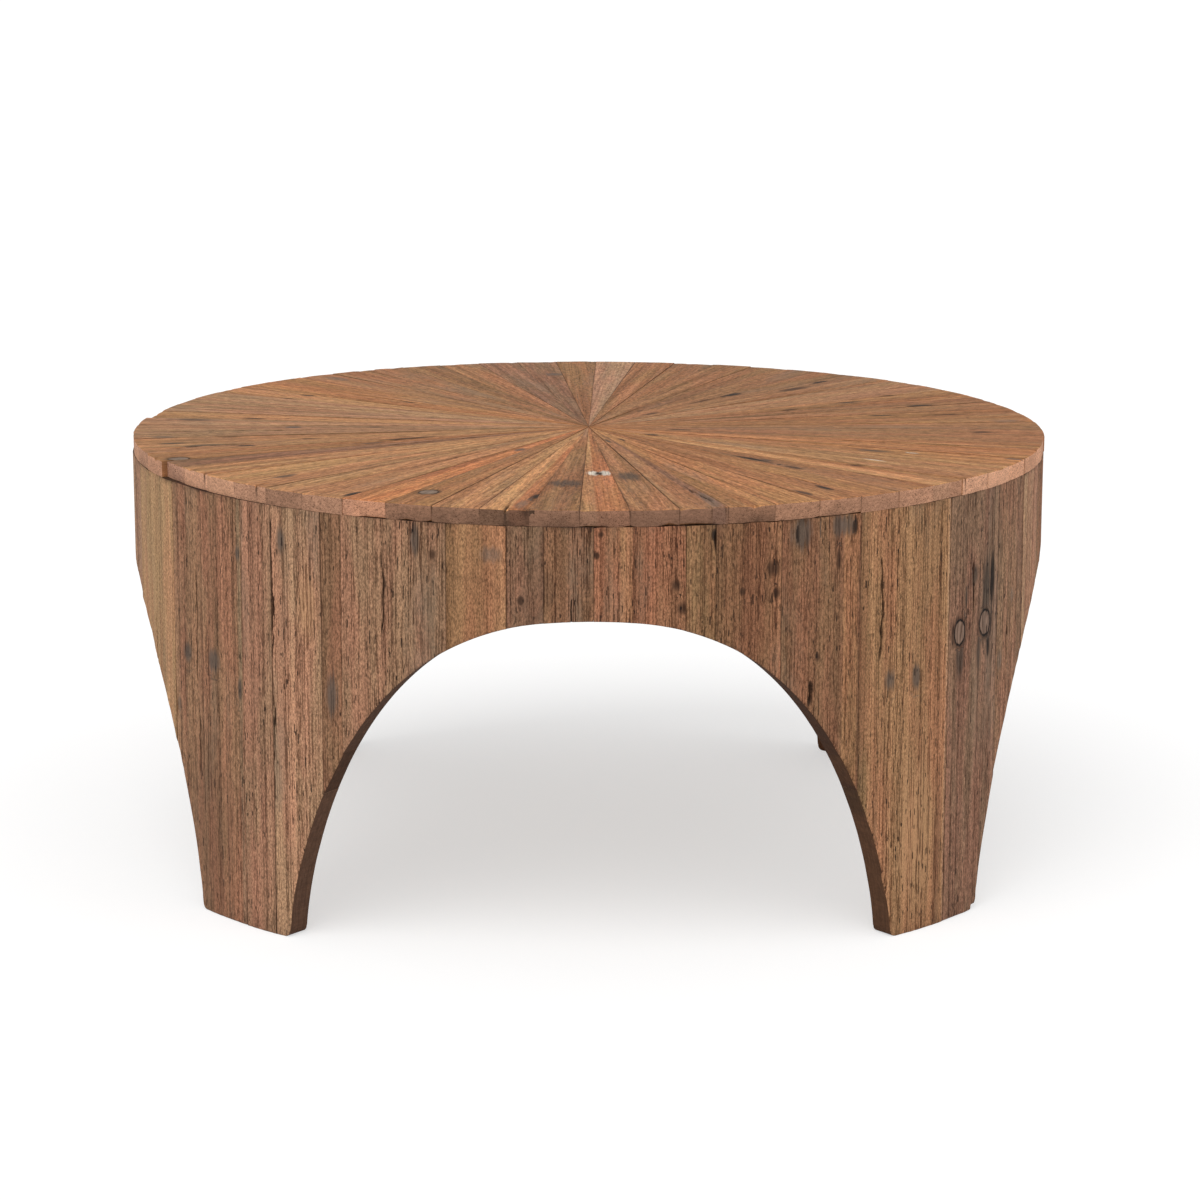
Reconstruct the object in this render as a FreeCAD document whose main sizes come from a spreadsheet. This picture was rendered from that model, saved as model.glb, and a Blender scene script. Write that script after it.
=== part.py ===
import FreeCAD, Part
import math
import os

# A round coffee table of reclaimed boards. A drum of upright staves, coopered edge to edge,
# carries a flush top of wedge boards that meet in the middle. Four arches sawn into the drum
# leave four legs. A disc under the wedge boards and a ring of cleats hold the drum together.
# Millimetres, +Z up, the origin on the floor under the middle of the top, the front towards -Y.
# Angles are azimuths: 0 is the front, and they grow towards +X.

doc = FreeCAD.newDocument("CoffeeTable")
sheet = doc.addObject("Spreadsheet::Sheet", "Sizes")

# Driving dimensions, in millimetres, degrees and counts.
SIZES = {
    "table_diameter": 1000,
    "table_height": 465,
    "top_thickness": 17,
    "wedge_count": 64,
    "first_wedge_angle": -1,
    "stave_thickness": 27,
    "first_stave_angle": 0.6,
    "leg_width": 142,
    "front_right_leg_angle": 46.6,
    "back_right_leg_angle": 135,
    "back_left_leg_angle": 225,
    "front_left_leg_angle": 314.2,
    "rail_height": 94,
    "left_arch_drop": 12,
    "arch_crown_power": 2.4,
    "arch_side_power": 1.48,
    "disc_thickness": 15,
    "cleat_width": 40,
    "cleat_height": 40,
    "fit_clearance": 0.3,
    "screw_diameter": 5,
    "screw_head_diameter": 10,
    "screw_head_height": 3,
    "screw_point_length": 6,
    "screw_clearance": 0.2,
    "stave_screw_bite": 16,
    "disc_screw_bite": 10,
}

# Widths of the staves along the outside of the drum, from the front round by the right.
RIGHT_STAVES = [39, 52, 30, 69, 92, 128, 97, 71]
BACK_STAVES = [68, 84, 46, 97, 58, 104, 40, 75, 52, 118, 62, 33, 88, 70,
               124, 43, 66, 60, 49, 81, 95, 110, 38, 78, 54, 90, 37]
LEFT_STAVES = [115, 133, 44, 65, 25, 115, 61, 37, 49]
STAVE_WIDTHS = RIGHT_STAVES + BACK_STAVES + LEFT_STAVES
STAVES = [f"stave_{number:02d}" for number in range(1, len(STAVE_WIDTHS) + 1)]

# Whole staves backed by each cleat of the ring.
STAVES_PER_CLEAT = [6, 5, 6, 5, 6, 5, 6, 5]

# The quarters of the table, each with a leg of its own, from the front round by the right.
QUARTERS = ["front_right", "back_right", "back_left", "front_left"]

ARCH_POINTS = 24
FRONT_AXIS = -90
Z_AXIS = FreeCAD.Vector(0, 0, 1)


def fill_sheet():
    """Write every driving dimension to the sheet, one aliased cell each."""
    rows = dict(SIZES)
    for stave, width in zip(STAVES, STAVE_WIDTHS):
        rows[stave + "_width"] = width
    for row, (alias, value) in enumerate(rows.items(), start=1):
        sheet.set(f"A{row}", alias.replace("_", " "))
        sheet.set(f"B{row}", str(value))
        sheet.setAlias(f"B{row}", alias)
    doc.recompute()


def size(alias):
    return float(sheet.get(alias))


def bind(thing, expressions):
    for name, text in expressions.items():
        thing.setExpression(name, text)
    return thing


def sector(name, radius, height, base, start="0", sweep="360"):
    """A sector of an upright cylinder about the table's axis."""
    return bind(doc.addObject("Part::Cylinder", name), {
        "Radius": radius,
        "Height": height,
        "Angle": sweep,
        "Placement.Base.z": base,
        "Placement.Rotation.Angle": f"{start} + ({FRONT_AXIS})",
    })


def cut(name, base, tool):
    result = doc.addObject("Part::Cut", name)
    result.Base = base
    result.Tool = tool
    return result


def group(name, things):
    result = doc.addObject("Part::Compound", name)
    result.Links = things
    return result


def solid(name, shape, azimuth=0):
    """A shape drawn at the front, turned to its azimuth."""
    thing = doc.addObject("Part::Feature", name)
    thing.Shape = shape
    thing.Placement = FreeCAD.Placement(FreeCAD.Vector(), FreeCAD.Rotation(Z_AXIS, azimuth))
    return thing


def stave_sweep(first, after):
    """The angle that a run of staves takes of the whole drum, as an expression."""
    widths = [f"Sizes.{stave}_width" for stave in STAVES]
    run = " + ".join(widths[first:after]) or "0"
    return f"360 * ({run}) / ({' + '.join(widths)})"


def stave_joint(number):
    return f"Sizes.first_stave_angle + {stave_sweep(0, number)}"


def stave_edges():
    """The azimuths of the joints between the staves, first to last and closed."""
    widths = [size(stave + "_width") for stave in STAVES]
    edges = [size("first_stave_angle")]
    for width in widths:
        edges.append(edges[-1] + 360 * width / sum(widths))
    return edges


def arch_outline(distance, half_angle, height):
    """The arch on an upright plane at this distance from the axis, closed below the floor.

    The arch is a superellipse in azimuth and height. Its width grows with the distance, so that
    the faces of the cut point at the table's axis.
    """
    points = []
    steps = range(ARCH_POINTS + 1)
    for step in steps:
        turn = math.pi * step / ARCH_POINTS
        across = abs(math.cos(turn)) ** (2 / size("arch_crown_power"))
        azimuth = math.copysign(half_angle * across, math.cos(turn))
        rise = height * max(math.sin(turn), 0) ** (2 / size("arch_side_power"))
        points.append(FreeCAD.Vector(distance * math.tan(math.radians(azimuth)), -distance, rise))
    curve = Part.BSplineCurve()
    curve.interpolate(Points=points, Parameters=[float(step) for step in steps])
    below = FreeCAD.Vector(0, 0, -size("stave_thickness"))
    corners = [points[-1], points[-1] + below, points[0] + below, points[0]]
    return Part.Wire([curve.toShape()] + Part.makePolygon(corners).Edges)


def arch_cutter(name, azimuth, half_angle, height):
    radius = size("table_diameter") / 2
    nearest = (radius - 2 * size("stave_thickness")) * math.cos(math.radians(half_angle))
    farthest = radius + size("stave_thickness")
    outlines = [arch_outline(distance, half_angle, height) for distance in (nearest, farthest)]
    return solid(name, Part.makeLoft(outlines, True, True), azimuth)


def make_arches():
    """The cutters of the four arches between the legs, each with its middle and half angle.

    Above the crown of an arch the staves keep a rail, which holds the drum together.
    """
    half_leg = math.degrees(size("leg_width") / size("table_diameter"))
    legs = [size(quarter + "_leg_angle") for quarter in QUARTERS]
    height = size("table_height") - size("top_thickness") - size("rail_height")
    spans = [
        ("right_arch", legs[0], legs[1], height),
        ("back_arch", legs[1], legs[2], height),
        ("left_arch", legs[2], legs[3], height - size("left_arch_drop")),
        ("front_arch", legs[3], legs[0] + 360, height),
    ]
    arches = []
    for name, start, end, rise in spans:
        middle = (start + end) / 2
        half_angle = (end - start) / 2 - half_leg
        arches.append((arch_cutter(name, middle, half_angle, rise), middle, half_angle))
    return arches


def meets(arch_middle, arch_half, start, end):
    """Whether an arch reaches into the stave between these azimuths."""
    apart = ((start + end) / 2 - arch_middle + 180) % 360 - 180
    return abs(apart) < arch_half + (end - start) / 2


def screw(name, length):
    """A pan-head wood screw along +Z, with the underside of its head at the origin."""
    head = bind(doc.addObject("Part::Cylinder", name + "_head"), {
        "Radius": "Sizes.screw_head_diameter / 2",
        "Height": "Sizes.screw_head_height",
        "Placement.Base.z": "-Sizes.screw_head_height",
    })
    shank = bind(doc.addObject("Part::Cylinder", name + "_shank"), {
        "Radius": "Sizes.screw_diameter / 2",
        "Height": f"{length} - Sizes.screw_point_length",
    })
    point = bind(doc.addObject("Part::Cone", name + "_point"), {
        "Radius1": "Sizes.screw_diameter / 2",
        "Radius2": "0",
        "Height": "Sizes.screw_point_length",
        "Placement.Base.z": f"{length} - Sizes.screw_point_length",
    })
    whole = doc.addObject("Part::MultiFuse", name)
    whole.Shapes = [head, shank, point]
    return whole


def screw_hole(name, length):
    """The hole that the shank of such a screw fills."""
    return bind(doc.addObject("Part::Cylinder", name), {
        "Radius": "Sizes.screw_diameter / 2 + Sizes.screw_clearance",
        "Height": f"{length} + Sizes.screw_clearance",
    })


def copies(name, pattern, places):
    shapes = []
    for place in places:
        shape = pattern.Shape.copy()
        shape.Placement = place.multiply(shape.Placement)
        shapes.append(shape)
    return solid(name, Part.makeCompound(shapes))


def at_azimuth(azimuth, radius, height, turn):
    """A place at the front, at this radius and height, swung round to its azimuth."""
    swing = FreeCAD.Placement(FreeCAD.Vector(), FreeCAD.Rotation(Z_AXIS, azimuth))
    return swing.multiply(FreeCAD.Placement(FreeCAD.Vector(0, -radius, height), turn))


def cleat_starts():
    """How many staves lie before each cleat, and after the last one."""
    starts = [0]
    for count in STAVES_PER_CLEAT:
        starts.append(starts[-1] + count)
    return starts


def make_top():
    """The wedge boards of the top, in four quarters."""
    count = round(size("wedge_count"))
    quarters = {quarter: [] for quarter in QUARTERS}
    for number in range(count):
        wedge = sector(f"wedge_{number + 1:02d}", "Sizes.table_diameter / 2", "Sizes.top_thickness",
                       "Sizes.table_height - Sizes.top_thickness",
                       f"Sizes.first_wedge_angle + {number} * 360 / Sizes.wedge_count",
                       "360 / Sizes.wedge_count")
        quarters[QUARTERS[number * len(QUARTERS) // count]].append(wedge)
    return [group("top_wedges_" + quarter, wedges) for quarter, wedges in quarters.items()]


def make_staves(hole):
    """The staves of the drum, each cut by the arches that it meets and drilled for its screw."""
    drum_height = "Sizes.table_height - Sizes.top_thickness"
    inside = sector("drum_inside", "Sizes.table_diameter / 2 - Sizes.stave_thickness", drum_height, "0")
    arches = make_arches()
    edges = stave_edges()
    staves = []
    for number, (stave, place) in enumerate(zip(STAVES, stave_screw_places())):
        blank = sector(stave + "_blank", "Sizes.table_diameter / 2", drum_height, "0",
                       stave_joint(number), stave_sweep(number, number + 1))
        board = cut(stave + "_hollowed", blank, inside)
        for arch, middle, half in arches:
            if meets(middle, half, edges[number], edges[number + 1]):
                board = cut(f"{stave}_{arch.Name}", board, arch)
        staves.append(cut(stave, board, copies(stave + "_hole", hole, [place])))
    return staves


def make_cleats(stave_hole, disc_hole):
    """The ring under the disc, in curved cleats that each back a run of whole staves."""
    outside = "Sizes.table_diameter / 2 - Sizes.stave_thickness - Sizes.fit_clearance"
    base = "Sizes.table_height - Sizes.top_thickness - Sizes.disc_thickness - Sizes.cleat_height"
    inside = sector("ring_inside", f"{outside} - Sizes.cleat_width", "Sizes.cleat_height", base)
    starts = cleat_starts()
    cleats = []
    for number, (first, after) in enumerate(zip(starts, starts[1:])):
        name = f"ring_cleat_{number + 1}"
        blank = sector(name + "_blank", outside, "Sizes.cleat_height", base,
                       stave_joint(first), stave_sweep(first, after))
        curved = cut(name + "_curved", blank, inside)
        across = copies(name + "_stave_holes", stave_hole, stave_screw_places()[first:after])
        upward = copies(name + "_disc_holes", disc_hole, disc_screw_places()[2 * number:2 * number + 2])
        cleats.append(cut(name, cut(name + "_drilled", curved, across), upward))
    return cleats


def make_disc(disc_hole):
    """The disc that the wedge boards are glued to."""
    blank = sector("disc_blank", "Sizes.table_diameter / 2 - Sizes.stave_thickness - Sizes.fit_clearance",
                   "Sizes.disc_thickness", "Sizes.table_height - Sizes.top_thickness - Sizes.disc_thickness")
    return cut("top_disc", blank, copies("top_disc_holes", disc_hole, disc_screw_places()))


def stave_screw_places():
    """One screw from each cleat out into the middle of each stave."""
    head_radius = size("table_diameter") / 2 - size("stave_thickness") - size("cleat_width")
    height = size("table_height") - size("top_thickness") - size("disc_thickness") - size("cleat_height") / 2
    outward = FreeCAD.Rotation(FreeCAD.Vector(1, 0, 0), 90)
    edges = stave_edges()
    return [at_azimuth((start + end) / 2, head_radius - 2 * size("fit_clearance"), height, outward)
            for start, end in zip(edges, edges[1:])]


def disc_screw_places():
    """Two screws up through each cleat into the disc, clear of the screws to the staves."""
    radius = size("table_diameter") / 2 - size("stave_thickness") - size("cleat_width") / 2
    height = size("table_height") - size("top_thickness") - size("disc_thickness") - size("cleat_height")
    edges = stave_edges()
    places = []
    for first, count in zip(cleat_starts(), STAVES_PER_CLEAT):
        for joint in (first + 1, first + count - 1):
            places.append(at_azimuth(edges[joint], radius, height, FreeCAD.Rotation()))
    return places


def check_document():
    for thing in doc.Objects:
        if "Invalid" in thing.State or "Error" in thing.State:
            raise RuntimeError(f"{thing.Name} failed: {thing.State}")


def write_parts(parts):
    os.makedirs("parts", exist_ok=True)
    for part in parts:
        if part.Shape.isNull() or not part.Shape.isValid():
            raise RuntimeError(f"{part.Label} has no valid shape")
    for part in parts:
        part.Shape.exportStep(f"parts/{part.Label}.step")


fill_sheet()
STAVE_SCREW_LENGTH = "(Sizes.cleat_width + 2 * Sizes.fit_clearance + Sizes.stave_screw_bite)"
DISC_SCREW_LENGTH = "(Sizes.cleat_height + Sizes.disc_screw_bite)"
stave_screw = screw("stave_screw", STAVE_SCREW_LENGTH)
disc_screw = screw("disc_screw", DISC_SCREW_LENGTH)
stave_screw_hole = screw_hole("stave_screw_hole", STAVE_SCREW_LENGTH)
disc_screw_hole = screw_hole("disc_screw_hole", DISC_SCREW_LENGTH)
doc.recompute()

sub_parts = make_top()
sub_parts.append(make_disc(disc_screw_hole))
sub_parts += make_cleats(stave_screw_hole, disc_screw_hole)
sub_parts += make_staves(stave_screw_hole)
sub_parts.append(copies("stave_screws", stave_screw, stave_screw_places()))
sub_parts.append(copies("disc_screws", disc_screw, disc_screw_places()))
doc.recompute()
check_document()
write_parts(sub_parts)
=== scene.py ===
import math

import bpy
import numpy as np
from mathutils import Matrix, Vector
from mathutils.bvhtree import BVHTree


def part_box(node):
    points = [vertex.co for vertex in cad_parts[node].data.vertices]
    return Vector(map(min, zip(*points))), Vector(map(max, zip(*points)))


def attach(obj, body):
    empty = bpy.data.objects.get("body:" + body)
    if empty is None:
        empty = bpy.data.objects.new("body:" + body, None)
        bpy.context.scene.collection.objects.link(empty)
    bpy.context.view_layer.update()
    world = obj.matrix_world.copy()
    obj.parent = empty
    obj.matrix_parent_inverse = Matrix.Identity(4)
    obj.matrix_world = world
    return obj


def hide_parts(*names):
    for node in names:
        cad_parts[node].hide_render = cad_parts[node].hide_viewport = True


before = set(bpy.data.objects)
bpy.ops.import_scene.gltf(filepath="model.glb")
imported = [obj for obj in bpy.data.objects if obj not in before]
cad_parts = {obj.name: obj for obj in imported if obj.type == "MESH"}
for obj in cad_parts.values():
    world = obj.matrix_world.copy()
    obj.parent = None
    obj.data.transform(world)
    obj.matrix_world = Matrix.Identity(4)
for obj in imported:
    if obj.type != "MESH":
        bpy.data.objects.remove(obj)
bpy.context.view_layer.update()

# A round coffee table of reclaimed boards: a drum of upright staves under a flush top of wedge
# boards. Each board is a closed mesh of its own, with worn arrises, cracks, knots and a grain
# that flows round them. Metres, +Z up, the front towards -Y. Angles are azimuths in degrees:
# 0 is the front, and they grow towards +X.

MM = 0.001
STAVE_THICKNESS = 27 * MM
DISC_CLEARANCE = 0.3 * MM
TABLE_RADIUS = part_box("top_disc")[1][0] + (STAVE_THICKNESS + DISC_CLEARANCE)
TABLE_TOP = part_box("top_wedges_front_right")[1][2]
DRUM_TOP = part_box("stave_01")[1][2]
QUARTERS = ["front_right", "back_right", "back_left", "front_left"]
WEDGES_PER_QUARTER = 16

# The grid of a board: its steps across and along the grain, and the closer steps by an arris.
COLUMN_STEP = 2.4 * MM
ROW_STEP = 3.2 * MM
WEDGE_COLUMN_STEP = 4 * MM
WEDGE_ROW_STEP = 7 * MM
ARRIS_STEPS = np.array([0, 0.3, 0.7, 1.2, 1.9, 3.0]) * MM
EDGE_LAYERS = 5
JOINT_GAP = 0.12 * MM
FOOT_ROUNDING = 7 * MM
TIP_RADIUS = 0.8 * MM
SHARP_ANGLE = math.radians(50)

# Which material of a piece a face of its boards has.
FACE, INSIDE, END = range(3)

# Reaches of a knot, in half sizes of its heart.
FAR_FROM_KNOTS = 9.0
KNOT_REACH = 1.6
RING_REACH = 1.4

random = np.random.default_rng(11)
LATTICE = random.random((256, 256))


# Tones, marks and cracks

def srgb(red, green, blue):
    """A colour as a screen shows it, from 0 to 255, in linear light."""
    shown = np.array([red, green, blue]) / 255
    return np.where(shown <= 0.04045, shown / 12.92, ((shown + 0.055) / 1.055) ** 2.4)


def all_marks(groups):
    """Marks that are listed by kind, as one list, each with its kind."""
    return [(*mark, kind) for kind, marks in groups.items() for mark in marks]


TONES = {
    "ochre": srgb(175, 137, 103), "fawn": srgb(166, 123, 91), "tan": srgb(174, 134, 107),
    "rose": srgb(161, 122, 98), "clay": srgb(154, 117, 93), "russet": srgb(155, 115, 90),
    "bark": srgb(136, 99, 75), "salmon": srgb(153, 107, 81), "umber": srgb(131, 94, 70),
    "olive": srgb(143, 108, 79), "plum": srgb(128, 97, 77), "mauve": srgb(143, 109, 89),
    "amber": srgb(153, 112, 82), "ash": srgb(152, 121, 97), "cocoa": srgb(143, 106, 82),
    "honey": srgb(178, 126, 86), "wheat": srgb(177, 130, 92), "straw": srgb(188, 140, 98),
    "biscuit": srgb(172, 130, 98), "caramel": srgb(166, 118, 81), "toffee": srgb(160, 115, 82),
    "chestnut": srgb(151, 109, 77), "coral": srgb(171, 115, 79), "orange": srgb(190, 127, 85),
}

# The colour and cover of the heart of a knot or patch, how dark the ring round it is, and how far
# the grain bends round it.
KNOTS = {
    "ringed": (srgb(134, 109, 93), 0.85, 1.0, 0.3),
    "grey": (srgb(94, 82, 73), 0.85, 0.0, 0.0),
    "dark": (srgb(74, 52, 39), 0.8, 0.2, 0.4),
    "black": (srgb(44, 36, 31), 0.9, 0.5, 0.3),
    "stain": (srgb(72, 63, 55), 0.8, 0.0, 0.1),
    "smudge": (srgb(108, 96, 86), 0.55, 0.0, 0.0),
    "eye": (srgb(136, 116, 100), 0.8, 0.8, 0.3),
    "pale": (srgb(232, 222, 205), 0.9, 0.1, 0.0),
    "light": (srgb(190, 148, 108), 0.5, 0.0, 0.0),
    "shade": (srgb(96, 70, 54), 0.4, 0.0, 0.0),
}

# Tones of the staves at the front by their number, and the tones that the others draw from.
STAVE_TONES = {
    1: "salmon", 2: "salmon", 3: "olive", 4: "umber", 5: "bark", 6: "fawn", 7: "mauve", 8: "clay",
    9: "tan", 35: "rose", 36: "ochre", 37: "russet", 38: "rose", 39: "tan", 40: "cocoa", 41: "clay",
    42: "amber", 43: "plum", 44: "bark",
}
OTHER_STAVE_TONES = ["rose", "russet", "tan", "umber", "fawn", "plum", "cocoa", "salmon", "amber", "clay"]

# How open the pores of the smoother staves are, against 1 for a rough one.
STAVE_PORES = {36: 0.4, 42: 0.42, 5: 0.8, 39: 0.9}

# Feet with a broken corner: the width and height of what is missing, and how wide its slope is.
FOOT_CHIPS = {7: (10 * MM, 5 * MM)}
NO_CHIP = (0, 0)
CHIP_RAMP = 2.5 * MM

# A crease across a stave, painted as a line of shade: its first and last azimuth, its height and its fall in
# millimetres.
STAVE_CREASES = {42: (-16.4, -9.2, 394.5, 25)}

# Stripes of another tone in a stave: first and last azimuth.
STAVE_STRIPES = [
    (20.9, 22.4, "salmon"), (30.4, 32.6, "amber"), (32.9, 34.4, "olive"), (47.1, 47.5, "tan"),
    (-45.6, -44.8, "ash"), (-11.2, -9.2, "fawn"), (3.6, 5.1, "fawn"),
]

# Knots and patches of the drum: azimuth, height, half width and half height in millimetres.
STAVE_MARKS = all_marks({
    "ringed": [(49.7, 305, 10, 14), (55.4, 307, 12, 14)],
    "stain": [
        (49.8, 279, 8, 26), (54, 280, 5, 22), (55.6, 345, 9, 40), (52.9, 361, 6, 13),
        (51, 340, 3, 14),
    ],
    "black": [
        (56.3, 282, 3, 12), (57.1, 352, 4, 26), (24.3, 433, 3, 13), (32, 436, 3, 9),
        (14.2, 438, 3, 6),
    ],
    "smudge": [(59.6, 260, 7, 12), (63.1, 324, 6, 9), (-11, 419, 12, 9), (-59.2, 212, 5, 9)],
    "grey": [
        (37.5, 272, 7, 13), (41.9, 270, 8, 14), (24.8, 434, 12, 18), (30.3, 438, 15, 13),
        (-20, 430, 6, 17), (-30.9, 262, 8, 24), (-38, 414, 6, 16), (-45.4, 392, 4, 9),
        (-45.4, 250, 4, 14), (-50.5, 273, 12, 13), (-56.5, 272, 11, 12),
    ],
    "light": [(42, 105, 34, 95), (-34.3, 350, 14, 42)],
    "shade": [(46.2, 60, 7, 95), (-52, 95, 45, 105), (-4.4, 386, 7, 20)],
    "dark": [
        (29.8, 404, 2.5, 10), (27.1, 307, 3, 5), (21.3, 401, 7, 8), (21.7, 376, 4, 5),
        (17.6, 380, 3, 4), (9.8, 389, 5, 6), (10.6, 366, 5, 7), (0.9, 420, 3, 3), (1.4, 441, 3, 3),
        (-7.6, 374, 3, 4), (-17.8, 416, 4, 5),
    ],
})

# Cracks of the drum: azimuth, foot and head, width and depth in millimetres.
STAVE_CRACKS = [
    (-39.7, 318, 434, 2.2, 7), (-39.6, 140, 320, 1, 3), (-54.2, 240, 365, 1.4, 3),
    (-54, 145, 228, 1.6, 3), (26.1, 256, 286, 3, 6), (36.1, 292, 402, 1.4, 4),
    (14.3, 420, 446, 1.8, 4), (-2, 300, 380, 1, 2.5), (52.6, 318, 380, 1.5, 3),
    (62, 250, 330, 1, 2.5), (-24, 330, 420, 1, 2.5), (-66, 180, 300, 1.2, 3),
]

# Tones of the wedge boards, from the front round by the right.
WEDGE_TONES = """
    coral toffee toffee honey honey caramel caramel caramel
    honey wheat wheat honey honey caramel toffee toffee
    toffee caramel caramel toffee toffee caramel fawn fawn
    toffee chestnut toffee chestnut chestnut chestnut toffee tan
    chestnut cocoa cocoa toffee chestnut toffee toffee toffee
    honey honey wheat biscuit biscuit biscuit wheat biscuit
    biscuit biscuit wheat wheat caramel bark wheat straw
    wheat wheat wheat orange caramel wheat straw chestnut
""".split()

# How far the ends of some wedge boards lie behind the rim, in millimetres.
WEDGE_SETBACKS = {47: 7, 46: 6, 45: 4.5, 44: 3, 43: 1.5, 53: 0, 54: 6, 55: 4.5, 56: 3, 57: 1.5}

# How much lighter or darker the ends of some wedge boards are than their neighbours.
END_SHADES = {
    5: 1.35, 6: 0.9, 8: 0.85, 9: 0.7, 11: 1.25, 12: 1.25, 14: 1.2, 52: 0.75, 53: 0.85, 55: 1.3, 57: 0.85,
    58: 0.7, 60: 1.45, 62: 1.2, 63: 0.8, 64: 1.4,
}

# Wedge boards that lie close on the staves, and the share that they have of the others' gap and of their
# painted shade under the rim.
CLOSE_WEDGES = [*range(7, 17), *range(47, 60)]
CLOSE_GAP = 0.15

# How far to both sides of the front the seams of the top are crisp, in degrees, and how dark they are.
CRISP_SEAMS = 45
CRISP_SEAM = 1.4

# Stripes of another tone in a wedge board: first and last azimuth.
WEDGE_STRIPES = [
    (-1, 0.9, "wheat"), (44, 47.5, "straw"), (-29.1, -27.5, "coral"), (-58.2, -57.25, "toffee"),
    (14, 15.6, "cocoa"), (-9, -6.6, "coral"),
]

# Knots and patches of the top: azimuth, distance from the middle, half width and half length
# in millimetres.
WEDGE_MARKS = all_marks({
    "pale": [
        (0.8, 294, 6, 14), (3.4, 293, 6, 13), (54.8, 366, 1.5, 13), (63.5, 337, 3, 6),
        (64.4, 382, 2, 6),
    ],
    "black": [
        (2, 295, 4, 9), (-6.9, 428, 4, 14), (-29.4, 476, 4, 14), (-70.4, 388, 4, 10),
        (-97.9, 377, 3, 14), (32.3, 443, 5, 16), (39.9, 267, 4, 26), (78, 103, 5, 11),
        (104.5, 342, 3, 17), (111.8, 408, 6, 16), (139.7, 430, 8, 13), (144.2, 287, 5, 15),
    ],
    "stain": [
        (-3.6, 355, 22, 22), (7.8, 313, 15, 30), (-44.2, 441, 8, 17), (-64.1, 260, 5, 20),
        (-72.7, 432, 6, 24), (-75.6, 460, 6, 22), (-95.4, 443, 7, 24), (11.9, 99, 3, 12),
        (41.1, 282, 6, 15), (63.4, 338, 8, 24),
    ],
    "eye": [(-21.5, 434, 10, 12), (-63.5, 479, 10, 12)],
    "smudge": [
        (-8, 470, 7, 24), (-80.2, 467, 9, 15), (-139.2, 463, 12, 22), (15.2, 455, 6, 46),
        (95.5, 470, 10, 20),
    ],
    "grey": [(-25.4, 168, 7, 10), (-88.9, 326, 8, 10), (-174, 395, 12, 14), (65.7, 490, 6, 10)],
    "dark": [
        (-67.5, 210, 5, 28), (-74.5, 313, 5, 13), (-79.4, 396, 5, 13), (-88.7, 237, 3, 12),
        (-119.6, 400, 5, 10), (-124.2, 395, 5, 10), (-130.1, 268, 5, 10), (22, 95, 3, 8),
        (27.9, 459, 4, 13), (39.5, 333, 4, 13), (49, 368, 4, 13), (51, 88, 5, 8),
        (86.1, 432, 7, 13), (102.9, 413, 4, 24), (117.7, 258, 4, 11), (120.5, 346, 4, 15),
        (122.9, 415, 5, 13), (138.5, 364, 7, 24), (141.7, 115, 4, 15), (144.7, 226, 3, 30),
    ],
})

# Cracks of the top: azimuth, inner and outer end, width and depth in millimetres.
WEDGE_CRACKS = [
    (-72, 380, 478, 2, 4), (-66.5, 190, 300, 1.4, 3), (-85, 300, 470, 1.2, 3),
    (14.8, 400, 480, 1.4, 3), (-36.5, 300, 440, 1, 2.5), (73, 280, 430, 1.2, 2.5),
    (-60, 130, 260, 1, 2.5), (33.5, 330, 440, 1, 2.5), (-52.4, 480, 515, 1.6, 4),
    (-42, 482, 515, 1.5, 4), (-9.3, 470, 515, 1.4, 4), (-7, 484, 515, 7, 0.8),
    (14, 484, 515, 1, 1), (15.6, 486, 515, 1, 1), (50.2, 478, 515, 1.5, 4),
]


# Noise, wear and cracks

def smooth(value):
    """An even step from 0 to 1."""
    value = np.clip(value, 0, 1)
    return value * value * (3 - 2 * value)


def noise(across, along):
    """Smooth random values from 0 to 1 over a plane, with one lattice point per unit."""
    size = len(LATTICE)
    column = np.floor(across).astype(int)
    row = np.floor(along).astype(int)
    right = smooth(across - column)
    up = smooth(along - row)
    near, far = column % size, (column + 1) % size
    below, above = row % size, (row + 1) % size
    low = LATTICE[below, near] * (1 - right) + LATTICE[below, far] * right
    high = LATTICE[above, near] * (1 - right) + LATTICE[above, far] * right
    return low * (1 - up) + high * up


def ripple(places, length, seed, start=0.0):
    """Smooth random values from 0 to 1 that change in one direction only."""
    return noise(places / length + start, np.full(places.shape, seed))


def worn(distances, radii):
    """How far a face falls away by its arrises, each at a distance and worn to a radius."""
    steepest = 0.98
    shortfalls = [np.clip(1 - distance / radius, 0, 1) for distance, radius in zip(distances, radii)]
    reach = np.clip(np.sqrt(sum(fall ** 2 for fall in shortfalls)), 0, steepest)
    weights = sum(shortfalls) + 1e-6
    radius = sum(fall * radius for fall, radius in zip(shortfalls, radii)) / weights
    return radius * (1 - np.sqrt(1 - reach ** 2))


def groove(across, along, cracks):
    """The depth of the cracks in a face."""
    broad_sway, broad_length, phase = 1.2 * MM, 17 * MM, 900
    fine_sway, fine_length = 0.6 * MM, 6 * MM
    taper_length = 12 * MM
    ragged_length = 9 * MM
    depth = np.zeros(across.shape)
    for middle, low, high, width, deep in cracks:
        sway = broad_sway * np.sin(along / broad_length + middle * phase)
        sway = sway + fine_sway * np.sin(along / fine_length)
        taper = smooth((along - low) / taper_length) * smooth((high - along) / taper_length)
        ragged = 0.5 + ripple(along, ragged_length, middle / MM)
        side = np.abs(across - middle - sway) / (width * ragged)
        depth = np.maximum(depth, deep * taper * np.clip(1 - side, 0, 1))
    return depth


# Grids and meshes

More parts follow.
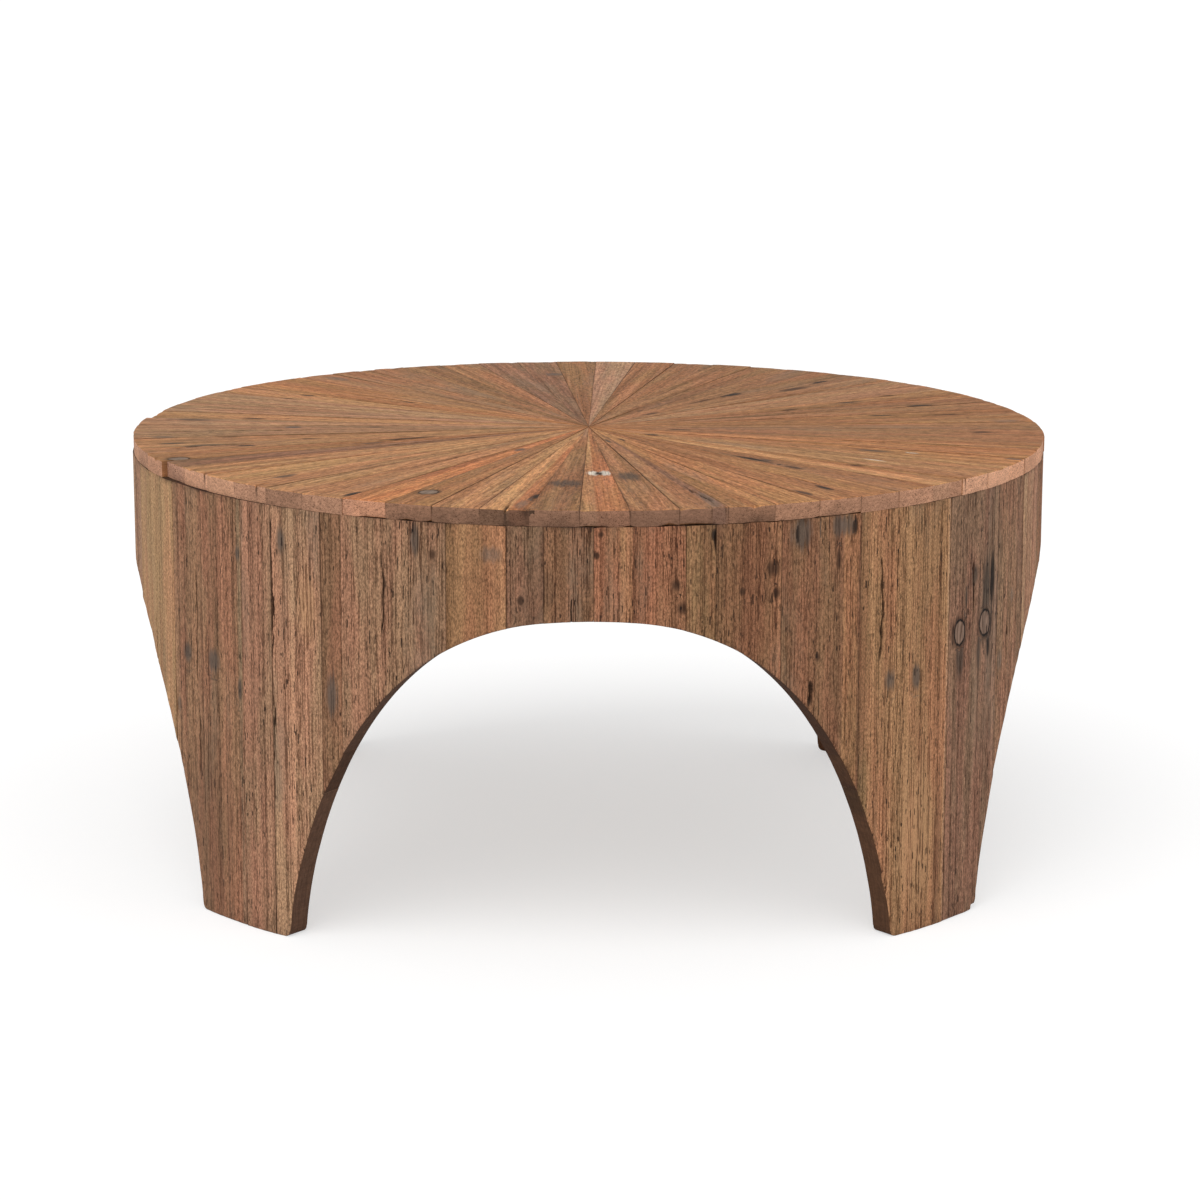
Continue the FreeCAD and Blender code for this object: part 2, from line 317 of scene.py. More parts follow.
def spread(length, step):
    """Grid places along a length, close together by both ends."""
    room = length - 2 * ARRIS_STEPS[-1]
    count = max(2, round(room / step))
    middle = np.linspace(ARRIS_STEPS[-1], length - ARRIS_STEPS[-1], count + 1)
    return np.concatenate([ARRIS_STEPS[:-1], middle, length - ARRIS_STEPS[-2::-1]])


def apart(places, least):
    """Sorted places, both ends included, without those that crowd the one before."""
    kept = [places[0]]
    for place in places[1:-1]:
        if place - kept[-1] > least and places[-1] - place > least:
            kept.append(place)
    return np.array(kept + [places[-1]])


def blend(colour, cover, tone):
    """Colours with a tone laid over them, as far as the cover says."""
    return colour + cover[..., None] * (TONES[tone] - colour)


def surface_channels(across, along, tone, stripes, marks):
    """The grain, tone and knots of a face."""
    stripe_sway, stripe_length = 2.5 * MM, 60 * MM
    knot_fade = 3
    bend_reach = 1.5
    colour = np.ones(across.shape + (1,)) * TONES[tone]
    for start, end, stripe in stripes:
        sway = stripe_sway * (ripple(along, stripe_length, start / MM) - 0.5)
        cover = smooth((across - sway - start) / MM) * smooth((end - across + sway) / MM)
        colour = blend(colour, cover, stripe)
    nearest = np.full(across.shape, FAR_FROM_KNOTS)
    knot = np.full(across.shape + (3,), FAR_FROM_KNOTS)
    heart = np.zeros(across.shape + (4,))
    ring = np.zeros(across.shape)
    grain = across.copy()
    for middle, place, half_across, half_along, kind in sorted(marks, key=lambda mark: KNOTS[mark[-1]][2]):
        colour_of_heart, cover, darkness, bend = KNOTS[kind]
        sideways = (across - middle) / half_across
        lengthways = (along - place) / half_along
        distance = np.hypot(sideways, lengthways)
        outside = knot_fade * np.clip(distance - KNOT_REACH, 0, None)
        nearer = distance < np.maximum(nearest, RING_REACH * darkness)
        nearest = np.where(nearer, distance, nearest)
        knot[nearer] = np.stack([sideways, lengthways, outside], -1)[nearer]
        heart[nearer] = np.append(colour_of_heart, cover)
        ring = np.where(nearer, darkness, ring)
        grain = grain - bend * half_across * sideways * np.exp(-(distance / bend_reach) ** 2)
    shift = random.uniform(0, 10, 3)
    texture = np.stack([grain, along, np.zeros(across.shape)], -1) + shift
    return texture, colour, heart, knot, ring


# The channels of a board's grid after its position: name, kind and number of columns.
CHANNELS = [
    ("grain", "FLOAT_VECTOR", 3), ("tone", "FLOAT_COLOR", 3), ("heart", "FLOAT_COLOR", 3),
    ("cover", "FLOAT", 1), ("knot", "FLOAT_VECTOR", 3), ("ring", "FLOAT", 1), ("dirt_and_shade", "FLOAT", 1),
    ("pores", "FLOAT", 1), ("end_tone_and_painted_light", "FLOAT", 1),
]
CHANNEL_FIELDS = {"FLOAT_VECTOR": "vector", "FLOAT_COLOR": "color", "FLOAT": "value"}


def pack_front(position, texture, colour, heart, knot, ring, dirt_and_shade, pores=1.0, end_tone_and_painted_light=1.0):
    """All channels of a grid, with how open the board's pores are, and how light its ends are by their tone
    and painted light.
    """
    by_place = [position, texture, colour, heart, knot, ring[..., None], dirt_and_shade[..., None]]
    board_wide = np.ones(dirt_and_shade.shape + (2,)) * (pores, end_tone_and_painted_light)
    return np.concatenate([*by_place, board_wide], -1)


def pack_back(position, thickness, texture, colour, dirt_and_shade, pores=1.0, end_tone_and_painted_light=1.0):
    """All channels of the back of a board, which has no knots."""
    deeper = texture - np.array([0, 0, thickness])
    heart = np.zeros(dirt_and_shade.shape + (4,))
    knot = np.full(dirt_and_shade.shape + (3,), FAR_FROM_KNOTS)
    ring = np.zeros(dirt_and_shade.shape)
    return pack_front(position, deeper, colour, heart, knot, ring, dirt_and_shade, pores, end_tone_and_painted_light)


def board(front, back):
    """The closed surface of a board from grids of its front and back, with all their channels.

    Rows run along the grain and columns across it. The first and last rows bound the two ends.
    """
    rows, columns, width = front.shape
    count = rows * columns
    index = np.arange(count).reshape(rows, columns)
    edge = np.concatenate([index[0], index[1:, -1], index[-1, -2::-1], index[-2:0:-1, 0]])
    sides = np.repeat([END, INSIDE, END, INSIDE], [columns - 1, rows - 1, columns - 1, rows - 1])
    front = front.reshape(-1, width)
    back = back.reshape(-1, width)
    layers = []
    rings = [edge]
    for layer in range(1, EDGE_LAYERS):
        layers.append(front[edge] + (back[edge] - front[edge]) * layer / EDGE_LAYERS)
        rings.append(2 * count + (layer - 1) * len(edge) + np.arange(len(edge)))
    rings.append(edge + count)
    quads = np.stack([index[:-1, :-1], index[:-1, 1:], index[1:, 1:], index[1:, :-1]], -1).reshape(-1, 4)
    faces = [quads, quads[:, ::-1] + count]
    kinds = [np.full(len(quads), FACE), np.full(len(quads), INSIDE)]
    for near, far in zip(rings, rings[1:]):
        faces.append(np.stack([near, far, np.roll(far, -1), np.roll(near, -1)], -1))
        kinds.append(sides)
    return np.vstack([front, back] + layers), np.vstack(faces), np.concatenate(kinds)


def add_channels(mesh, data):
    """Keep the channels of each vertex as attributes of the mesh."""
    opaque = np.ones((len(data), 1))
    column = 3
    for name, kind, width in CHANNELS:
        values = data[:, column:column + width]
        if kind == "FLOAT_COLOR":
            values = np.hstack([values, opaque])
        attribute = mesh.attributes.new(name, kind, "POINT")
        attribute.data.foreach_set(CHANNEL_FIELDS[kind], values.astype(np.float32).ravel())
        column += width


def new_object(name, data):
    made = bpy.data.objects.new(name, data)
    bpy.context.scene.collection.objects.link(made)
    return made


def make_piece(node, boards, materials):
    """One piece of closed boards, which stands for a CAD node."""
    data, faces, kinds = zip(*boards)
    starts = np.cumsum([0] + [len(vertices) for vertices in data])
    faces = np.vstack([quads + start for quads, start in zip(faces, starts)])
    data = np.vstack(data)
    mesh = bpy.data.meshes.new(node + "_boards")
    mesh.from_pydata(data[:, :3].tolist(), [], faces.tolist())
    mesh.polygons.foreach_set("material_index", np.concatenate(kinds))
    for material in materials:
        mesh.materials.append(material)
    add_channels(mesh, data)
    mesh.shade_smooth()
    mesh.set_sharp_from_angle(angle=SHARP_ANGLE)
    piece = new_object(node + "_boards", mesh)
    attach(piece, "root")
    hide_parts(node)


def azimuth_range(node):
    """The first and last azimuth of a CAD node by the rim, in radians."""
    by_rim = 0.9 * TABLE_RADIUS
    points = np.array([vertex.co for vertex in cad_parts[node].data.vertices])
    points = points[np.hypot(points[:, 0], points[:, 1]) > by_rim]
    middle = math.atan2(points[:, 0].mean(), -points[:, 1].mean())
    turns = np.arctan2(points[:, 0], -points[:, 1]) - middle
    turns = (turns + math.pi) % (2 * math.pi) - math.pi
    return middle + turns.min(), middle + turns.max()


def around(radius, azimuth, height):
    radius, azimuth, height = np.broadcast_arrays(radius, azimuth, height)
    return np.stack([radius * np.sin(azimuth), -radius * np.cos(azimuth), height], -1)


def on_board(items, first, last):
    """The listed items on a board: how far past its first azimuth in radians, and sizes in metres."""
    for azimuth, *sizes in items:
        turn = (math.radians(azimuth) - first) % (2 * math.pi)
        if turn <= last - first:
            yield turn, [size if isinstance(size, str) else size * MM for size in sizes]


def stripes_on_board(items, first, last):
    """The listed stripes on a board: the turn of their middle, half their width, and their tone."""
    for start, end, tone in items:
        for turn, _ in on_board([((start + end) / 2,)], first, last):
            yield turn, math.radians(end - start) / 2, tone


def local(items, first, last):
    """Marks or cracks of a stave: their azimuths as places across it."""
    return [(turn * TABLE_RADIUS, *sizes) for turn, sizes in on_board(items, first, last)]


# Staves of the drum

def underside(node):
    """A function that gives the height of a stave's lower edge at azimuths."""
    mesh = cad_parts[node].data
    corners = [vertex.co for vertex in mesh.vertices]
    tree = BVHTree.FromPolygons(corners, [polygon.vertices for polygon in mesh.polygons])
    radius = TABLE_RADIUS - STAVE_THICKNESS / 2
    below = -TABLE_TOP

    def height(azimuths):
        heights = []
        for azimuth in azimuths:
            start = Vector((radius * math.sin(azimuth), -radius * math.cos(azimuth), below))
            place = tree.ray_cast(start, Vector((0, 0, 1)))[0]
            heights.append(max(place.z, 0) if place else np.nan)
        heights = np.array(heights)
        known = ~np.isnan(heights)
        return np.interp(azimuths, np.array(azimuths)[known], heights[known])

    return height


def find_feet(places, height_at):
    """Where the lower edge of a stave leaves the floor, and on which side the floor lies."""
    off_floor = 0.01 * MM
    halvings = 16
    feet = []
    floor = height_at(places) < off_floor
    for number in np.flatnonzero(floor[:-1] != floor[1:]):
        near, far = places[number], places[number + 1]
        for _ in range(halvings):
            middle = (near + far) / 2
            on_floor = height_at(np.array([places[0], middle, places[-1]]))[1] < off_floor
            if on_floor == floor[number]:
                near = middle
            else:
                far = middle
        feet.append((near, -1 if floor[number] else 1))
    return feet


def extra_columns(feet, chip_width, cracks, marks):
    """Columns for the feet, cracks and marks of a stave."""
    columns = []
    for foot, side in feet:
        columns += [foot + side * share * FOOT_ROUNDING for share in (0, 0.1, 0.25, 0.5, 0.75, 1)]
        columns += [foot + side * (chip_width - share * CHIP_RAMP) for share in (0, 0.5, 1)]
    for middle, _, _, reach, _ in cracks:
        columns += [middle + share * reach for share in (-2, -1.2, -0.8, -0.4, 0, 0.4, 0.8, 1.2, 2)]
    for middle, _, half_across, _, _ in marks:
        columns += [middle + share * half_across for share in (-1.3, -0.7, 0, 0.7, 1.3)]
    return columns


def lower_edge(width, height_at, cracks, marks, chip):
    """Columns across a stave, and the height of its rounded and chipped lower edge at each."""
    chip_width, chip_height = chip
    steep_step = 8 * MM
    least_step = 0.12 * MM
    rounds_of_halving = 5
    beside_foot = 20 * MM
    places = spread(width, COLUMN_STEP)
    feet = find_feet(places, height_at)
    extra = [place for place in extra_columns(feet, chip_width, cracks, marks) if 0 < place < width]
    places = apart(np.sort(np.concatenate([places, extra])), least_step)
    for _ in range(rounds_of_halving):
        steep = np.abs(np.diff(height_at(places))) > steep_step
        middles = (places[:-1] + places[1:]) / 2
        places = apart(np.sort(np.concatenate([places, middles[steep]])), least_step)
    heights = height_at(places)
    for foot, side in feet:
        inward = (places - foot) * side
        rounding = np.clip(FOOT_ROUNDING - inward, 0, FOOT_ROUNDING)
        rounded = FOOT_ROUNDING - np.sqrt(FOOT_ROUNDING ** 2 - rounding ** 2)
        near_foot = (inward < FOOT_ROUNDING) & (inward > -beside_foot)
        heights = np.where(near_foot, np.maximum(heights, rounded), heights)
        heights = np.maximum(heights, chip_height * smooth((chip_width - inward) / CHIP_RAMP))
    return places, heights


def chance_marks(width):
    """Up to three knots and stains at random, for a stave that has none listed."""
    kinds = ["dark", "grey", "stain", "smudge", "dark"]
    return [(
        random.uniform(0.1, 0.9) * width,
        random.uniform(0.25, 0.95) * DRUM_TOP,
        random.uniform(3, 8) * MM,
        random.uniform(5, 14) * MM,
        kinds[random.integers(len(kinds))],
    ) for _ in range(random.integers(0, 4))]


def chance_cracks(width):
    """At most one drying crack at random, for a stave that has none listed."""
    depth = 3 * MM
    cracks = []
    for _ in range(random.integers(0, 2)):
        low = random.uniform(0.2, 0.7) * DRUM_TOP
        high = low + random.uniform(50, 130) * MM
        across = random.uniform(0.2, 0.8) * width
        cracks.append((across, low, high, random.uniform(0.8, 1.6) * MM, depth))
    return cracks


def crease_shade(across, along, first, start, end, height, drop):
    """Painted shade of a crease across a stave: a dark level line that falls away towards its end."""
    darkness = 0.4
    line_width = 2 * MM
    place = (np.degrees(first + across / TABLE_RADIUS) - start) / (end - start)
    line = (height - drop * np.clip(place, 0, 1) ** 5) * MM
    ends = smooth(place / 0.2) * smooth((1.05 - place) / 0.1)
    return darkness * ends * np.exp(-((along - line) / line_width) ** 2)


def stave_rows(places, low, seed):
    """The heights of a stave's grid, those of its head, and how its lowest rows stretch on a slope."""
    least_gap, more_gap = 0.05, 0.9
    high = DRUM_TOP - MM * (least_gap + more_gap * ripple(places, 14 * MM, seed) ** 4)
    slope = np.gradient(low, places)
    stretch = np.minimum(np.sqrt(1 + slope ** 2), 0.3 * (high - low) / ARRIS_STEPS[-1])
    bottom = low + ARRIS_STEPS[:, None] * stretch
    top = high - ARRIS_STEPS[::-1, None]
    count = max(3, round((high - low).max() / ROW_STEP))
    shares = np.linspace(0, 1, count)[1:-1, None]
    along = np.vstack([bottom, bottom[-1] + shares * (top[0] - bottom[-1]), top])
    return along, high, stretch


def stave_wear(across, along, width, low, high, stretch, seed):
    """How far a stave's face falls away by its four arrises."""
    least_wear, more_wear = 0.3, 0.6
    deepest_chip = 5 * MM
    foot_wear = 1.2 * MM
    head_wear = 0.3 * MM
    wear = MM * (least_wear + more_wear * ripple(along, 45 * MM, seed))
    chips = deepest_chip * ripple(along, 16 * MM, seed + 40) ** 7
    distances = [across, width - across, (along - low) / stretch, high - along]
    return worn(distances, [wear + chips, wear, foot_wear + chips, head_wear + chips])


def stave_dirt_and_shade(across, along, width, high, crack_depth, seed):
    """How dark a stave is made: dirt in its joints, painted shade in its cracks and under its head, and
    darker towards the floor.
    """
    joint_reach, head_reach, floor_reach = 0.7 * MM, 2.5 * MM, 12 * MM
    floor_darkening = 0.3
    joint = np.minimum(across, width - across)
    grime = ripple(along, 70 * MM, seed + 80)
    head_shade = ripple(across, 22 * MM, seed, seed) ** 2
    # Dirt in the joints, and painted shade in the cracks by their depth.
    dirt_and_shade = grime * np.exp(-joint / joint_reach) + crack_depth / MM
    # Painted shade under the head, where the rim overhangs it.
    dirt_and_shade = dirt_and_shade + head_shade * np.exp(-(high - along) / head_reach)
    # Darker towards the floor.
    return dirt_and_shade + floor_darkening * np.exp(-along / floor_reach)


def stave(node):
    """A stave of the drum. Its rows run from its foot to its head."""
    number = int(node[-2:])
    first, last = azimuth_range(node)
    first += JOINT_GAP / 2 / TABLE_RADIUS
    last -= JOINT_GAP / 2 / TABLE_RADIUS
    width = (last - first) * TABLE_RADIUS
    if number in STAVE_TONES:
        cracks = local(STAVE_CRACKS, first, last)
        marks = local(STAVE_MARKS, first, last)
    else:
        cracks = chance_cracks(width)
        marks = chance_marks(width)
    edge_height = underside(node)

    def height_at(places):
        return edge_height(first + places / TABLE_RADIUS)

    places, low = lower_edge(width, height_at, cracks, marks, FOOT_CHIPS.get(number, NO_CHIP))
    seed = random.uniform(0, 200)
    along, high, stretch = stave_rows(places, low, seed)
    across = np.broadcast_to(places, along.shape)
    azimuth = first + across / TABLE_RADIUS

    ridges = noise(across / (5 * MM) + seed, along / (130 * MM)) - 0.5
    swells = noise(across / (24 * MM) + seed, along / (170 * MM) + seed) - 0.5
    crack_depth = groove(across, along, cracks)
    fall = stave_wear(across, along, width, low, high, stretch, seed) + crack_depth
    lift = random.uniform(-1.0, 0.1) * MM
    outer = TABLE_RADIUS + lift + MM * (0.45 * ridges + 0.9 * swells) - fall
    inner = TABLE_RADIUS - STAVE_THICKNESS + 0.5 * MM * ridges

    tone = STAVE_TONES.get(number) or OTHER_STAVE_TONES[random.integers(len(OTHER_STAVE_TONES))]
    stripes = []
    for turn, half, stripe in stripes_on_board(STAVE_STRIPES, first, last):
        stripes.append(((turn - half) * TABLE_RADIUS, (turn + half) * TABLE_RADIUS, stripe))
    texture, colour, *knots = surface_channels(across, along, tone, stripes, marks)
    dirt_and_shade = stave_dirt_and_shade(across, along, width, high, crack_depth, seed)
    # A crease is painted in as a dark line of shade.
    if number in STAVE_CREASES:
        dirt_and_shade = dirt_and_shade + crease_shade(across, along, first, *STAVE_CREASES[number])
    dirt_and_shade = np.clip(dirt_and_shade, 0, 1)
    pores = STAVE_PORES.get(number) or random.uniform(0.85, 1.1)
    front = pack_front(around(outer, azimuth, along), texture, colour, *knots, dirt_and_shade, pores)
    back = pack_back(around(inner, azimuth, along), STAVE_THICKNESS, texture, colour, np.zeros(across.shape))
    return board(front, back)


# Wedge boards of the top

def wedge_grid(number, half, cracks, seed):
    """Places across a wedge board and along it from the middle, its half widths and its rim."""
    least_share = 0.004
    waviness = 0.4 * MM
    narrowest = 0.6
    places = spread(2 * half * TABLE_RADIUS, WEDGE_COLUMN_STEP) / (half * TABLE_RADIUS) - 1
    extra = []
    for turn, low, _, reach, _ in cracks:
        extra += [turn / half + share * reach / (half * low) for share in (-1.2, -0.5, 0, 0.5, 1.2)]
    places = apart(np.sort(np.concatenate([places, extra])), least_share)
    setback = MM * WEDGE_SETBACKS.get(number, random.choice([0.0, 0.2, 0.4, 0.7, 1.1]))
    rim = TABLE_RADIUS - setback - waviness * noise(places * 3 + seed, np.full(places.shape, seed))
    inward = spread(TABLE_RADIUS - TIP_RADIUS, WEDGE_ROW_STEP)[:, None] / (TABLE_RADIUS - TIP_RADIUS)
    along = rim - inward * (rim - TIP_RADIUS)
    half_width = np.maximum(along * half - JOINT_GAP / 2, narrowest * along * half)
    return places * half_width, along, half_width, rim


def wedge_wear(across, along, half_width, rim, seed):
    """How far a wedge board's face falls away by its two seams and the rim."""
    least_wear, more_wear = 0.2, 0.4
    deepest_chip = 5 * MM
    rim_wear = 0.7 * MM
    wear = MM * (least_wear + more_wear * ripple(along, 60 * MM, seed))
    wear = np.minimum(wear * smooth(along / (200 * MM)) + 0.03 * MM, 0.4 * half_width)
    chips = deepest_chip * ripple(across, 9 * MM, seed, seed) ** 8
    return worn([half_width + across, half_width - across, rim - along], [wear, wear, rim_wear + chips])


def wedge_underside(number, across, from_rim, seed):
    """How far a wedge board's lower edge by the rim stands back and up, and how dark it is made there by
    dirt and painted shade.
    """
    gap = CLOSE_GAP if number in CLOSE_WEDGES else 1
    inset = gap * 1.5 * MM * np.exp(-from_rim / MM) * ripple(across, 12 * MM, seed, seed)
    lifted = gap * 3.5 * MM * np.exp(-from_rim / (2 * MM)) * ripple(across, 14 * MM, seed + 60, seed) ** 3
    # Dirt and painted shade along the lower edge by the rim, where it meets the staves.
    dirt_and_shade = gap * 0.8 * np.exp(-from_rim / (4 * MM)) * ripple(across, 15 * MM, seed, seed) ** 2
    return inset, lifted, dirt_and_shade


def paint_end_tone_and_light(number, middle):
    """How light the end of a wedge board is: painted light, lighter at the sides than at the front, painted
    shade on the left, and its own tone, which differs at random and by board.
    """
    # Painted light and shade: the sides lighter than the front, and the left darker.
    front, more_at_sides, left = 0.66, 1.1, 0.82
    light = front + more_at_sides * smooth((abs(math.sin(middle)) - 0.15) / 0.8)
    light = light * random.uniform(0.8, 1.15) * (left if math.sin(middle) < 0 else 1)
    return light * END_SHADES.get(number, 1)


def wedge(number, first, last):
    """A wedge board of the top. Its rows run from the rim to the tip."""
    seam_reach, seam_start, seam_length = 0.6 * MM, 30 * MM, 220 * MM
    rim_wear_and_highlight_gain = 0.35
    middle = (first + last) / 2
    half = (last - first) / 2
    cracks = [(turn - half, *sizes) for turn, sizes in on_board(WEDGE_CRACKS, first, last)]
    marks = []
    for turn, (place, *sizes) in on_board(WEDGE_MARKS, first, last):
        marks.append(((turn - half) * place, place, *sizes))
    seed = random.uniform(0, 200)
    across, along, half_width, rim = wedge_grid(number, half, cracks, seed)
    azimuth = middle + across / along
    from_rim = rim - along

    ridges = noise(across / (6 * MM) + seed, along / (140 * MM)) - 0.5
    swells = noise(across / (30 * MM) + seed, along / (160 * MM) + seed) - 0.5
    crack_depth = np.zeros(across.shape)
    for turn, *sizes in cracks:
        crack_depth = np.maximum(crack_depth, groove(across - turn * along, along, [(0, *sizes)]))
    fall = wedge_wear(across, along, half_width, rim, seed) + crack_depth
    lift = random.uniform(-0.4, 0.3) * MM
    height = TABLE_TOP + lift + MM * (0.2 * ridges + 0.6 * swells) - fall

    tone = WEDGE_TONES[number - 1]
    texture, colour, *knots = surface_channels(across, along, tone, [], marks)
    for turn, reach, stripe in stripes_on_board(WEDGE_STRIPES, first, last):
        angle = across / along - (turn - half)
        colour = blend(colour, smooth((reach - np.abs(angle)) * along / MM), stripe)
    seam = CRISP_SEAM if abs(math.degrees(middle)) < CRISP_SEAMS else random.choice([0.3, 0.7, 1.2])
    seam = seam * smooth((along - seam_start) / seam_length)
    grime = ripple(along, 90 * MM, seed + 80)
    joint = half_width - np.abs(across)
    # Dirt in the seams, and painted shade in the cracks by their depth.
    dirt_and_shade = np.clip(seam * grime * np.exp(-joint / seam_reach) + crack_depth / MM, 0, 1)
    # Lighter along the rim's arris: pale wear and a painted highlight, which the top of the end face takes
    # too.
    rim_wear_and_highlight = np.exp(-from_rim / (1.2 * MM)) * ripple(across, 20 * MM, seed, seed)
    colour_with_rim_highlight = colour * (1 + rim_wear_and_highlight_gain * rim_wear_and_highlight[..., None])
    inset, lifted, under_rim_dirt_and_shade = wedge_underside(number, across, from_rim, seed)
    end_tone_and_painted_light = paint_end_tone_and_light(number, middle)
    pores = random.uniform(0.8, 1.2)
    upper = around(along, azimuth, height)
    under = around(along - inset, azimuth, DRUM_TOP + lifted)
    front = pack_front(upper, texture, colour_with_rim_highlight, *knots, dirt_and_shade, pores, end_tone_and_painted_light)
    back = pack_back(under, TABLE_TOP - DRUM_TOP, texture, colour, under_rim_dirt_and_shade, pores, end_tone_and_painted_light)
    return board(front, back)


# Shader nodes

def add(tree, kind, inputs, **settings):
    """A shader node with its settings, and with values or links on its inputs."""
    node = tree.nodes.new("ShaderNode" + kind)
    for name, value in settings.items():
        setattr(node, name, value)
    for name, value in inputs.items():
        if isinstance(value, bpy.types.NodeSocket):
            tree.links.new(value, node.inputs[name])
        else:
            node.inputs[name].default_value = value
    return node


def channel(tree, name, output):
    return add(tree, "Attribute", {}, attribute_name=name).outputs[output]


def pattern(tree, vector, scale, detail, roughness=0.55):
    """Noise with so many lattice points per metre across, along and through a board."""
    stretched = add(tree, "VectorMath", {0: vector, 1: scale}, operation="MULTIPLY")
    texture = add(tree, "TexNoise", {
        "Vector": stretched.outputs[0], "Scale": 1.0, "Detail": detail, "Roughness": roughness})
    return texture.outputs["Fac"]


def remap(tree, value, low, high, to_low=0.0, to_high=1.0):
    return add(tree, "MapRange", {
        "Value": value, "From Min": low, "From Max": high, "To Min": to_low, "To Max": to_high},
        interpolation_type="SMOOTHSTEP").outputs["Result"]


def mix(tree, factor, first, second, blend_type="MIX"):
    """A mix of two colours, each a link or three values."""
    pair = [value if isinstance(value, bpy.types.NodeSocket) else (*value, 1.0) for value in (first, second)]
    inputs = {0: factor, 6: pair[0], 7: pair[1]}
    return add(tree, "Mix", inputs, data_type="RGBA", blend_type=blend_type).outputs[2]


def tint(tree, colour, factor):
    return mix(tree, 1.0, colour, factor, "MULTIPLY")


def calculate(tree, operation, first, second=0.0):
    return add(tree, "Math", {0: first, 1: second}, operation=operation).outputs[0]


def multiply(tree, first, second):
    return calculate(tree, "MULTIPLY", first, second)


def new_material(name):
    material = bpy.data.materials.new(name)
    material.use_nodes = True
    material.node_tree.nodes.clear()
    return material, material.node_tree


def finish_shader(tree, colour, uneven, roughness, height, distance, strength=0.7, metallic=0.0):
    """A dull surface with its colour, its uneven roughness from least to most, and its relief."""
    rough = remap(tree, uneven, 0.3, 0.7, *roughness)
    bump = add(tree, "Bump", {"Height": height, "Distance": distance, "Strength": strength})
    shader = add(tree, "BsdfPrincipled", {
        "Base Color": colour, "Roughness": rough, "Metallic": metallic,
        "Specular IOR Level": DULL_SHINE, "Normal": bump.outputs[0]})
    add(tree, "OutputMaterial", {"Surface": shader.outputs[0]})


# Materials

DULL_SHINE = 0.12
PORE = srgb(70, 45, 33)
PORE_SHADE = (0.24, 0.19, 0.17)
GREYED = srgb(128, 112, 94)
EVEN_END = srgb(167, 122, 88)
RING = srgb(24, 19, 17)
# The dark colour of dirt in joints and seams and of painted shade in cracks, creases and under the rim, and
# how far it covers.
DIRT_AND_SHADE = srgb(38, 27, 21)
DIRT_AND_SHADE_COVER = 0.8
NAIL_COVER = 0.8

# Noises of the wood: lattice points per metre across, along and through a board.
BROAD = (90, 1.8, 90)
STREAKS = (300, 6, 300)
HAIRS = (800, 300, 800)
MOTTLES = (350, 90, 350)
PATCHES = (17, 4, 17)
HUES = (42, 6, 42)
ROUGH_AREAS = (22, 5, 22)
PORE_SWAY = (60, 7, 60)
PORE_CROWDING = (200, 12, 200)


def open_pores(tree, grain, columns, dash, low, high, share):
    """Straight dark lines along the grain that come and go at random.

    They lie in columns, so many per metre, of which a share chosen at random has them.
    """
    sway_columns, crowding_columns = 4.0, 3.0
    column_spacing = 7.31
    place = add(tree, "SeparateXYZ", {0: grain})
    sway = multiply(tree, pattern(tree, grain, PORE_SWAY, 1), sway_columns)
    crowding = multiply(tree, pattern(tree, grain, PORE_CROWDING, 1), crowding_columns)
    shift = calculate(tree, "ADD", sway, crowding)
    across = calculate(tree, "ADD", multiply(tree, place.outputs["X"], columns), shift)
    number = calculate(tree, "FLOOR", across)
    column = multiply(tree, number, column_spacing)
    along = calculate(tree, "DIVIDE", place.outputs["Y"], dash)
    cell = add(tree, "CombineXYZ", {0: column, 1: along, 2: place.outputs["Z"]})
    dashes = pattern(tree, cell.outputs[0], (1, 1, 1), 1)
    lot = add(tree, "TexWhiteNoise", {"W": number}, noise_dimensions="1D")
    chosen = calculate(tree, "LESS_THAN", lot.outputs["Value"], share)
    return multiply(tree, remap(tree, dashes, low, high), chosen)


def shaded_tone(tree, grain, shading):
    """The tone of a board, with broad darker and lighter bands and a changing hue."""
    tone = channel(tree, "tone", "Color")
    broad = pattern(tree, grain, BROAD, 3)
    hues = pattern(tree, grain, HUES, 2)
    dark = tint(tree, tone, [1 - shading] * 3)
    light = tint(tree, tone, [1 + 0.7 * shading] * 3)
    colour = mix(tree, remap(tree, broad, 0.3, 0.7), dark, light)
    reddish = tint(tree, colour, (1.07, 0.96, 0.92))
    yellowish = tint(tree, colour, (0.98, 1.02, 0.94))
    return mix(tree, remap(tree, hues, 0.35, 0.65), reddish, yellowish)


